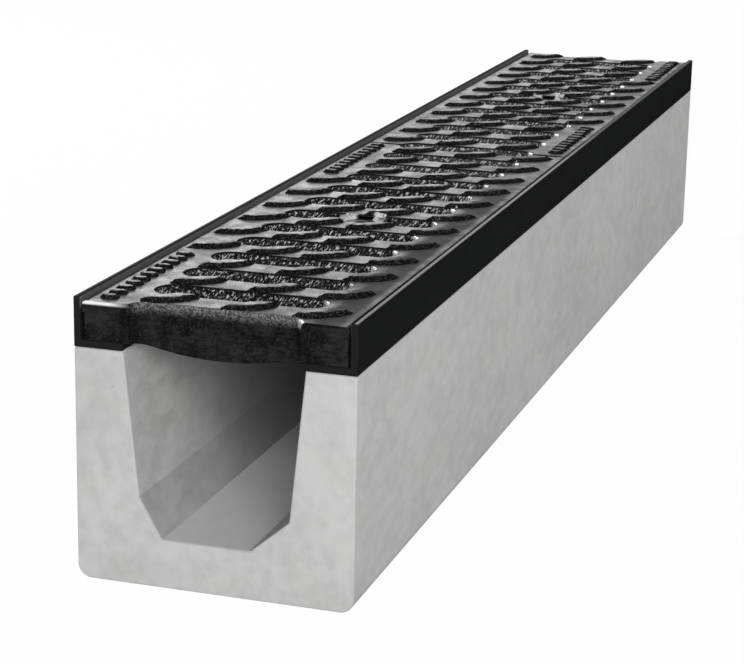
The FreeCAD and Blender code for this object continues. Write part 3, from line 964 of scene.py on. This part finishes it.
def grating(node, turn, seed, tree, stud, pip, finish):
    """One casting: its plate with rounded rims, and its studs and pips on the land."""
    low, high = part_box(node)
    half = (high - low) / 2
    studs = raised_row(
        tree, stud_points(), Form=stud, Tilt=STUD_TILT, Wobble=STUD_WOBBLE,
        Rough=STUD_ROUGH, Seed=seed, Finish=finish,
    )
    pips = raised_row(
        tree, pip_points(half.x, half.y), Form=pip, Tilt=PIP_TILT, Wobble=PIP_WOBBLE,
        Rough=PIP_ROUGH, Seed=seed, Finish=finish,
    )
    middle = Matrix.Translation(((low.x + high.x) / 2, (low.y + high.y) / 2, LAND_HEIGHT))
    seat = middle @ Matrix.Rotation(turn, 4, "Z")
    shell = bmesh.new()
    shell.from_mesh(cast_plate(node))
    for row in (studs, pips):
        row.transform(seat)
        shell.from_mesh(row)
    new_piece(f"{node}_dressed", to_mesh(shell, node), finish, node, SHARP_ANGLE)


def dress_gratings():
    """Two castings of one pattern, the rear one turned end for end."""
    finish = iron_finish()
    tree = raised_row_tree()
    stud = raised_form("leaf_stud", STUD_LENGTH, STUD_WIDTH, STUD_POINT, STUD_SIDES, STUD_RINGS)
    pip = raised_form("edge_pip", PIP_LENGTH, PIP_WIDTH, PIP_POINT, PIP_SIDES, PIP_RINGS)
    for node, turn, seed in (("grating_front", 0, FRONT_SEED), ("grating_rear", math.pi, REAR_SEED)):
        grating(node, turn, seed, tree, stud, pip, finish)
    for form in (stud, pip):
        bpy.data.objects.remove(form)


def dress_channel():
    softened_copy("channel_body", CONCRETE_ARRIS, concrete_finish())
    paint = rail_finish()
    for side in ("left", "right"):
        softened_copy(f"edge_rail_{side}", RAIL_ARRIS, paint)


def dress_small_steel():
    """The anchors, bolts and bars keep their own solids and get their metals."""
    finishes = {
        "rail_anchors": steel_finish("rolled_anchor_steel", ANCHOR_LEVEL, ANCHOR_DULL),
        "lock_": steel_finish("dark_oxide_steel", BOLT_LEVEL, BOLT_DULL),
    }
    for name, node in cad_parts.items():
        for start, finish in finishes.items():
            if name.startswith(start):
                node.data.materials.clear()
                node.data.materials.append(finish)


# Stage: a white floor and world to the eye, and an even fill for the object
FLOOR_REACH = 8
FLOOR_TONE = 0.5
FLOOR_GLOW = 1.0
FLOOR_SHARE = 0.96
FLOOR_PALE = 0.9
WORLD_FILL = 0.23
BACKDROP_GLOW = 1.0
RING_SHARE = 0.4
STUDIO_DIM = 0.4
BEHIND_OBJECT = (0.2, 0.6)
ABOVE_BACKDROP = (0.4, 0.65)

# Lamps, with their powers in watts
FRONT_KEY = {"place": (4.4, -10.0, 4.1), "target": (0, -0.3, 0.1), "size": (6.0, 6.0), "power": 1040}
SIDE_FILL = {"place": (3.2, 2.4, 1.1), "target": (0, 0.4, 0.08), "size": (2.0, 2.0), "power": 22}
BACK_SHEET = {"place": (-1.2, 3.2, 1.3), "target": (0, 0, 0.15), "size": (4.0, 1.6), "power": 52}
EDGE_GLINT = {"place": (-2.0, 1.0, 2.1), "target": (0, 0, 0.15), "size": (0.5, 0.5), "power": 45}

# Camera, with its lens and sensor in millimetres
CAMERA_PLACE = Vector((0.4151, -1.5457, 0.4594))
CAMERA_WAY = Vector((-0.2883, 0.9198, -0.2661))
CAMERA_RIGHT = Vector((0.9525, 0.3039, 0.0185))
CAMERA_LENS = 107.5
SENSOR_WIDTH = 36


def seen_directly(shade):
    """1 for the rays that should find a white background, and 0 for the rest."""
    rays = [shade.add("ShaderNodeLightPath", result=name) for name in (
        "Is Camera Ray", "Is Glossy Ray", "Is Transmission Ray",
    )]
    return rays[0] | rays[1] | rays[2]


def white_floor():
    material, shade = new_material("white_floor")
    plain = shade.add("ShaderNodeBsdfDiffuse", {}, {"Color": grey(FLOOR_TONE)})
    pale = shade.add("ShaderNodeBsdfDiffuse", {}, {"Color": grey(FLOOR_PALE)})
    glow = shade.add("ShaderNodeEmission", {}, {"Color": grey(1), "Strength": FLOOR_GLOW})
    white = shade.add("ShaderNodeMixShader", {}, {0: FLOOR_SHARE, 1: pale, 2: glow})
    shade.end("ShaderNodeOutputMaterial", shade.add("ShaderNodeMixShader", {}, {
        0: seen_directly(shade), 1: plain, 2: white,
    }))
    mesh = bpy.data.meshes.new("white_floor")
    reach = FLOOR_REACH
    corners = [(-reach, -reach, 0), (reach, -reach, 0), (reach, reach, 0), (-reach, reach, 0)]
    mesh.from_pydata(corners, [], [(0, 1, 2, 3)])
    mesh.materials.append(material)
    new_object("white_floor", mesh)


def studio_world():
    """White to the eye, brighter behind the object than in front of it to reflections, and an even fill."""
    world = bpy.data.worlds.new("studio")
    bpy.context.scene.world = world
    shade = Shading(world)
    way = shade.add("ShaderNodeTexCoord", result="Generated")
    behind = shade.step(shade.part_of(way, "Y"), BEHIND_OBJECT)
    low = 1 - shade.step(shade.part_of(way, "Z"), ABOVE_BACKDROP)
    glossy = shade.add("ShaderNodeLightPath", result="Is Glossy Ray")
    backdrop = STUDIO_DIM + (BACKDROP_GLOW - STUDIO_DIM) * low * at_least(RING_SHARE, behind)
    direct = seen_directly(shade)
    strength = (1 - direct) * WORLD_FILL + direct * (1 - glossy) + glossy * backdrop
    shade.end("ShaderNodeOutputWorld", shade.add("ShaderNodeBackground", {}, {
        "Color": grey(1), "Strength": strength,
    }))


def soft_lamp(name, place, target, size, power, lights=True, shines=True):
    """An area lamp that lights surfaces, shines back from them, or both."""
    light = bpy.data.lights.new(name, "AREA")
    light.shape = "RECTANGLE"
    light.size, light.size_y = size
    light.energy = power
    lamp = new_object(name, light)
    turn = (Vector(target) - Vector(place)).to_track_quat("-Z", "Y")
    lamp.matrix_world = Matrix.Translation(place) @ turn.to_matrix().to_4x4()
    lamp.visible_camera = False
    lamp.visible_diffuse = lights
    lamp.visible_glossy = shines


def studio_lamps():
    soft_lamp("front_key", **FRONT_KEY, shines=False)
    soft_lamp("side_fill", **SIDE_FILL, shines=False)
    soft_lamp("back_sheet", **BACK_SHEET, lights=False)
    soft_lamp("edge_glint", **EDGE_GLINT)


def photo_camera():
    data = bpy.data.cameras.new("photo_camera")
    data.sensor_fit = "HORIZONTAL"
    data.sensor_width = SENSOR_WIDTH
    data.lens = CAMERA_LENS
    camera = new_object("photo_camera", data)
    back = -CAMERA_WAY.normalized()
    right = (CAMERA_RIGHT - back * CAMERA_RIGHT.dot(back)).normalized()
    turn = Matrix((right, back.cross(right), back)).transposed()
    camera.matrix_world = Matrix.Translation(CAMERA_PLACE) @ turn.to_4x4()
    bpy.context.scene.camera = camera


dress_channel()
dress_gratings()
dress_small_steel()
white_floor()
studio_world()
studio_lamps()
photo_camera()
bpy.context.scene.view_settings.view_transform = "Standard"
